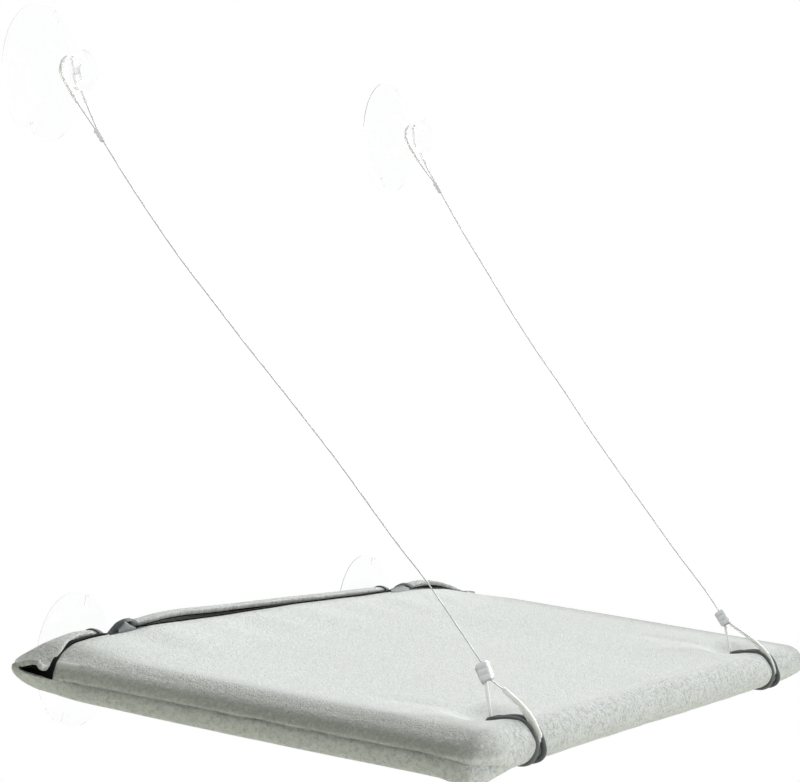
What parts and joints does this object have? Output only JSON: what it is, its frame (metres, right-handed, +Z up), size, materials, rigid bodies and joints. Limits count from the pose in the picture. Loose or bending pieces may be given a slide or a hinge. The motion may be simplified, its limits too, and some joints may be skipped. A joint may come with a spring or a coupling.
{
  "type": "window mounted cat perch",
  "caption": "Felt covered rectangular perch on a tube frame, hung on steel cables from suction cups and hinged along its rear tube to lower cups.",
  "frame": {"origin": "on the glass plane, midway between the centres of the two lower suction cups", "axes": "+X along the window to the right as seen from the room, +Y towards the glass, +Z up"},
  "size_m": [0.598, 0.3245, 0.4522],
  "materials": {
    "clear_pvc": "clear, glossy",
    "clear_sleeve": "milky clear",
    "steel_cable": "twisted strands",
    "ferrule_metal": "pressed, satin",
    "frame_tube": "powder coated, satin",
    "elbow_plastic": "matt",
    "felt": "light grey melange wool felt",
    "black_tape": "hook and loop tape",
    "slate_binding": "woven bias binding"
  },
  "bodies": {
    "window_side": {"cup_upper_left": "clear_pvc", "cup_upper_right": "clear_pvc", "cup_lower_left": "clear_pvc", "cup_lower_right": "clear_pvc", "tube_eye_left": "clear_pvc", "tube_eye_right": "clear_pvc", "upper_loop_left": "steel_cable", "upper_loop_right": "steel_cable", "upper_crimp_left": "ferrule_metal", "upper_crimp_right": "ferrule_metal", "cable_left": "steel_cable", "cable_right": "steel_cable"},
    "platform": {"rear_tube": "frame_tube", "front_tube": "frame_tube", "side_tube_left": "frame_tube", "side_tube_right": "frame_tube", "elbow_rear_left": "elbow_plastic", "elbow_rear_right": "elbow_plastic", "elbow_front_left": "elbow_plastic", "elbow_front_right": "elbow_plastic", "cover_top": "felt", "cover_bottom": "felt", "loop_strip_left": "black_tape", "loop_strip_middle": "black_tape", "loop_strip_right": "black_tape", "slit_binding_left": "slate_binding", "slit_binding_right": "slate_binding", "notch_binding_left": "slate_binding", "notch_binding_right": "slate_binding", "ferrule_left": "ferrule_metal", "ferrule_right": "ferrule_metal", "lower_loop_left": "steel_cable", "lower_loop_right": "steel_cable", "front_sleeve_left": "clear_sleeve", "front_sleeve_right": "clear_sleeve", "rear_sleeve_left": "clear_sleeve", "rear_sleeve_right": "clear_sleeve"},
    "left_flap": {"flap_left": "felt", "hook_strip_left": "black_tape", "flap_binding_left": "slate_binding"},
    "middle_flap": {"flap_middle": "felt", "hook_strip_middle": "black_tape", "flap_binding_middle": "slate_binding"},
    "right_flap": {"flap_right": "felt", "hook_strip_right": "black_tape", "flap_binding_right": "slate_binding"}
  },
  "joints": [
    {"name": "platform_fold", "type": "hinge", "parent": "window_side", "child": "platform", "pos_m": [0, -0.031, 0.002], "axis": [-1, 0, 0], "range_deg": [0, 55], "deforming": ["cable_left", "cable_right"]},
    {"name": "left_flap_open", "type": "hinge", "parent": "platform", "child": "left_flap", "pos_m": [-0.255, -0.02127, 0.01535], "axis": [-1, 0, 0], "range_deg": [0, 20]},
    {"name": "middle_flap_open", "type": "hinge", "parent": "platform", "child": "middle_flap", "pos_m": [0, -0.02127, 0.01535], "axis": [-1, 0, 0], "range_deg": [0, 20]},
    {"name": "right_flap_open", "type": "hinge", "parent": "platform", "child": "right_flap", "pos_m": [0.245, -0.02127, 0.01535], "axis": [-1, 0, 0], "range_deg": [0, 20]}
  ]
}
